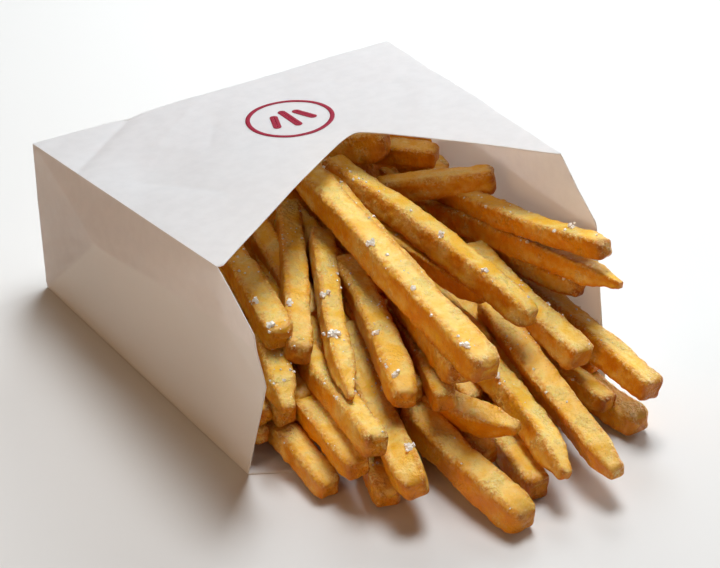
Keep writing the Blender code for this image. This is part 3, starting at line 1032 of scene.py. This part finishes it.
def single_grains(chance):
    """Places and sizes of single grains, scattered where a random field is high."""
    places, normals = upward_points()
    weight = np.clip(noise(places, *SALT_PATCHES) + 0.15, 0.03, 1) ** 1.8
    out = ORIGIN_OUT - places[:, 1]
    weight = weight * np.clip((SALT_END - out) / SALT_FADE, 0.15, 1)
    chosen = chance.choice(len(places), SALT_GRAINS, replace=False, p=weight / weight.sum())
    sizes = mix(*GRAIN_SIZES, chance.random(SALT_GRAINS) ** 2.6)
    return places[chosen] + 0.04 * normals[chosen], sizes


def clump(fry, share, grains, reach, chance):
    """Places and sizes of the grains of one clump on the top of a fry."""
    surface = fry_surfaces[fry][0]
    row = surface[int(share * (len(surface) - 1))]
    middle = row[np.argmax(row[:, 2])]
    away = chance.normal(size=(grains, 3)) * (0.5, 0.5, 0.25) * reach
    return middle + away + 0.2 * UP, mix(*CLUMP_SIZES, chance.random(grains))


def build_salt():
    """Join the single grains and the clumps into one piece."""
    chance = np.random.default_rng(SALT_SEED)
    heaps = [single_grains(chance)]
    heaps += [clump(*row, chance) for row in CLUMPS]
    spots, sizes = (np.concatenate(parts) for parts in zip(*heaps))
    points = grain_shape(spots, sizes, SHAPE_SEED)
    cube = np.array(((0, 1, 3, 2), (4, 6, 7, 5), (0, 4, 5, 1),
                     (2, 3, 7, 6), (0, 2, 6, 4), (1, 5, 7, 3)))
    faces = (np.arange(len(points))[:, None, None] * 8 + cube).reshape(-1, 4)
    salt = new_mesh("salt_grains", points.reshape(-1, 3), [faces])
    salt.data.polygons.foreach_set("use_smooth", np.zeros(len(faces), bool))
    return salt


salt = build_salt()

# %% [markdown]
# ## Materials
# Pattern sizes are true sizes in millimetres, read from each piece's own coordinates. Where a
# fry is brown or dry, how far its faces point up, which paints tops paler as light and
# undersides darker as shade, and where paper lies double, follows the shape, so the mesh brings
# it as an attribute. The patches within that are random in the shader.


# %% White paper
def white_paper():
    """Thin uncoated white paper for food: matt, with the light and dark clouds of its fibres, and
    thin enough that light glows through it, less so where it lies double."""
    material, tree, shader = new_material("white_paper")
    place = object_place(tree)
    doubled = mesh_looks(tree)[0]
    clouds = fine_noise(tree, place, 3.5, 4.0, 0.6)
    fibres = fine_noise(tree, place, 0.45, 3.0, 0.6)
    colour = blend_colours(tree, ramp(tree, clouds, 0.3, 0.7),
                           to_linear("E0E1DF"), to_linear("E7E8E6"))
    colour = blend_colours(tree, doubled, colour, to_linear("E4E4DF"))
    bump = add_node(tree, "ShaderNodeBump", {},
                    {"Strength": 0.18, "Distance": 0.03 * MM, "Height": fibres})
    set_inputs(tree, shader, {"Base Color": colour, "Roughness": 0.62,
                              "Specular IOR Level": 0.35, "Normal": bump.outputs["Normal"]})
    glow = add_node(tree, "ShaderNodeBsdfTranslucent", {},
                    {"Color": to_linear("FFF4EC"), "Normal": bump.outputs["Normal"]})
    let_through = ramp(tree, doubled, 0.0, 1.0, 0.42, 0.31)
    mixed = add_node(tree, "ShaderNodeMixShader", {},
                     {0: let_through, 1: shader.outputs["BSDF"], 2: glow.outputs["BSDF"]})
    set_inputs(tree, tree.nodes["Material Output"], {"Surface": mixed.outputs[0]})
    return material


# %% Printing ink
def printing_ink():
    """One flat crimson ink, half soaked into the paper, so it is nearly as matt as the sheet."""
    material, tree, shader = new_material("crimson_ink")
    fibres = fine_noise(tree, object_place(tree), 0.35, 2.0, 0.6)
    colour = blend_colours(tree, ramp(tree, fibres, 0.35, 0.7),
                           to_linear("860022"), to_linear("920028"))
    set_inputs(tree, shader, {"Base Color": colour, "Roughness": 0.6,
                              "Specular IOR Level": 0.2})
    return material


# %% Fried potato
def potato_body(tree, patches, dry_and_top_light):
    """The colour of a fry's faces: amber where they are oily and, as painted shade, where they
    face down; pale yellow where they are dry and, as painted top light, where they face up.
    """
    amber_and_side_shade = blend_colours(tree, ramp(tree, patches, 0.38, 0.62),
                         to_linear("DE8604"), to_linear("EE9E0C"))
    pale_and_top_light = blend_colours(tree, ramp(tree, patches, 0.36, 0.60),
                         to_linear("F2B830"), to_linear("FAD574"))
    # painted light and shade: blending by dryness with top light makes up-facing faces pale and
    # down-facing faces amber
    return blend_colours(tree, ramp(tree, dry_and_top_light, 0.42, 0.92), amber_and_side_shade, pale_and_top_light)


def potato_relief(tree, place, crumbs, mottle, crusty):
    """Bump of the skin: crumbs and small blisters, stronger where it is crusty."""
    blisters = add_node(tree, "ShaderNodeTexVoronoi", {"feature": "SMOOTH_F1"},
                        {"Vector": place, "Scale": 1 / (1.3 * MM), "Smoothness": 0.4})
    rough = arithmetic(tree, "ADD", crumbs,
                       arithmetic(tree, "MULTIPLY", blisters.outputs["Distance"], -0.5))
    rough = arithmetic(tree, "MULTIPLY", rough, ramp(tree, crusty, 0.0, 1.0, 0.30, 1.6))
    height = arithmetic(tree, "ADD", rough, arithmetic(tree, "MULTIPLY", mottle, 0.5))
    bump = add_node(tree, "ShaderNodeBump", {},
                    {"Strength": 1.0, "Distance": 0.60 * MM, "Height": height})
    return bump.outputs["Normal"]


def fried_potato():
    """Potato sticks fried in oil: pale yellow where the skin has dried and, as painted light, on
    top; amber on the oily sides, darkened there as painted shade; cream starch specks on top,
    partly painted highlight; brown along the edges, at the ends and in spots, finely blistered
    and thinly oiled."""
    material, tree, shader = new_material("fried_potato")
    place = object_place(tree)
    edge, end, dry_and_top_light = mesh_looks(tree)
    patches = fine_noise(tree, place, 6.0, 3.0, 0.55)
    mottle = fine_noise(tree, place, 1.6, 4.0, 0.65)
    crumbs = fine_noise(tree, place, 0.7, 3.0, 0.6)
    grain = fine_noise(tree, place, 0.35, 3.0, 0.6)

    colour = potato_body(tree, patches, dry_and_top_light)
    crust = arithmetic(tree, "MULTIPLY", arithmetic(tree, "POWER", edge, 5.0),
                       ramp(tree, mottle, 0.34, 0.60, 0.15, 0.7))
    spots = arithmetic(tree, "MULTIPLY", ramp(tree, mottle, 0.58, 0.72),
                       ramp(tree, patches, 0.45, 0.65, 0.05, 0.5))
    brown = arithmetic(tree, "MULTIPLY", end, ramp(tree, mottle, 0.32, 0.56, 0.6, 1.0))
    specks = ramp(tree, grain, 0.62, 0.70, 0.0, 0.7)
    crusty = arithmetic(tree, "MAXIMUM", ramp(tree, patches, 0.48, 0.66, 0.12, 1.0),
                        arithmetic(tree, "MULTIPLY", crust, 0.8))
    # painted highlight: cream starch specks, kept to faces that point up, stand partly for glints
    # of light on the tops
    starch_and_top_highlight = arithmetic(tree, "MULTIPLY", ramp(tree, crumbs, 0.52, 0.60, 0.0, 0.9), crusty)
    starch_and_top_highlight = arithmetic(tree, "MULTIPLY", starch_and_top_highlight, ramp(tree, dry_and_top_light, 0.3, 0.8, 0.1, 1.0))
    for share, code in ((crust, "D68004"), (spots, "BE6E14"), (brown, "A65404"),
                        (specks, "9A5204"), (starch_and_top_highlight, "FBDF94")):
        colour = blend_colours(tree, share, colour, to_linear(code))

    relief = potato_relief(tree, place, crumbs, mottle, crusty)
    set_inputs(tree, shader, {
        "Base Color": colour, "Roughness": ramp(tree, mottle, 0.35, 0.7, 0.28, 0.46),
        "Specular IOR Level": 0.14, "Normal": relief,
        "Coat Weight": 0.25, "Coat Roughness": 0.22, "Coat Normal": relief,
        "Subsurface Weight": 0.30, "Subsurface Radius": (1.0, 0.40, 0.05),
        "Subsurface Scale": 1.0 * MM})
    return material


# %% Salt
def table_salt():
    """Crystals of salt: clear inside but white with cracks, so they read as small bright grains."""
    material, tree, shader = new_material("table_salt")
    set_inputs(tree, shader, {"Base Color": to_linear("FFF9EE"), "Roughness": 0.25})
    return material


# %% Give every piece its material
potato = fried_potato()
finish_piece(bag, white_paper(), "bag")
finish_piece(ink, printing_ink(), None)
for piece in fry_pieces:
    finish_piece(piece, potato, "fries")
finish_piece(mound, potato, "fries")
finish_piece(inner_fries, potato, "fries")
finish_piece(salt, table_salt(), None)

# %% [markdown]
# ## Table, light and camera
# A plain pale table under a studio's soft lights: the main one from above, a weaker one from
# behind on the right, low ones from both sides, the left one warm, and weak light from all
# round. The camera looks down at the bag's left front corner.


# %% Table and lights
FLOOR_SIZE = 6.0            # in metres, as are all sizes and places below
FLOOR_UP = -0.0002          # just under the paper, so that the two don't coincide
LIGHTS = [
    # name, place, target, size, power in watts, colour
    ("key", (0.14, 0.06, 0.74), (0, -0.04, 0.03), 0.28, 5.0, "EEF6FF"),
    ("back_right", (0.26, 0.30, 0.36), (0, -0.02, 0.04), 0.24, 1.4, "EAF4FF"),
    ("low_right", (0.85, 0.05, 0.22), (0.05, 0.0, 0.04), 0.35, 4.5, "EEF6FF"),
    ("low_left", (-0.80, -0.40, 0.30), (0, -0.04, 0.03), 0.40, 2.1, "FFCA98"),
]
CAMERA_PLACE = (-0.2398, -0.4207, 0.3444)
CAMERA_TARGET = (-0.00235, -0.03083, 0.03)


def look_at(thing, place, target):
    """Set a lamp or camera at place, facing target, and link it to the scene."""
    thing.location = place
    thing.rotation_euler = (Vector(target) - Vector(place)).to_track_quat("-Z", "Y").to_euler()
    bpy.context.scene.collection.objects.link(thing)


def build_floor():
    """A large flat plate whose top is the table."""
    bpy.ops.mesh.primitive_plane_add(size=FLOOR_SIZE, location=(0, 0, FLOOR_UP))
    floor = bpy.context.object
    floor.name = "table"
    material, tree, shader = new_material("pale_table")
    set_inputs(tree, shader, {"Base Color": to_linear("DEDAD3"), "Roughness": 0.8})
    floor.data.materials.append(material)


def add_area_light(name, place, target, size, power, colour):
    """A square soft light that shines from place to target."""
    light = bpy.data.lights.new(name, "AREA")
    light.size = size
    light.energy = power
    light.color = to_linear(colour)[:3]
    lamp = bpy.data.objects.new(name, light)
    look_at(lamp, place, target)


def build_world():
    """Weak, slightly warm light from all round."""
    sky = bpy.data.worlds.new("studio")
    sky.use_nodes = True
    background = sky.node_tree.nodes["Background"]
    background.inputs["Color"].default_value = to_linear("FFF0E2")
    background.inputs["Strength"].default_value = 0.08
    bpy.context.scene.world = sky


def build_camera():
    """The photo's view: a long lens from the front left, above."""
    lens = bpy.data.cameras.new("camera")
    lens.lens = 105
    lens.sensor_width = 36
    camera = bpy.data.objects.new("camera", lens)
    look_at(camera, CAMERA_PLACE, CAMERA_TARGET)
    bpy.context.scene.camera = camera


build_floor()
build_world()
for row in LIGHTS:
    add_area_light(*row)
build_camera()
print("lights:", [row[0] for row in LIGHTS])
bpy.context.scene.view_settings.view_transform = "Standard"
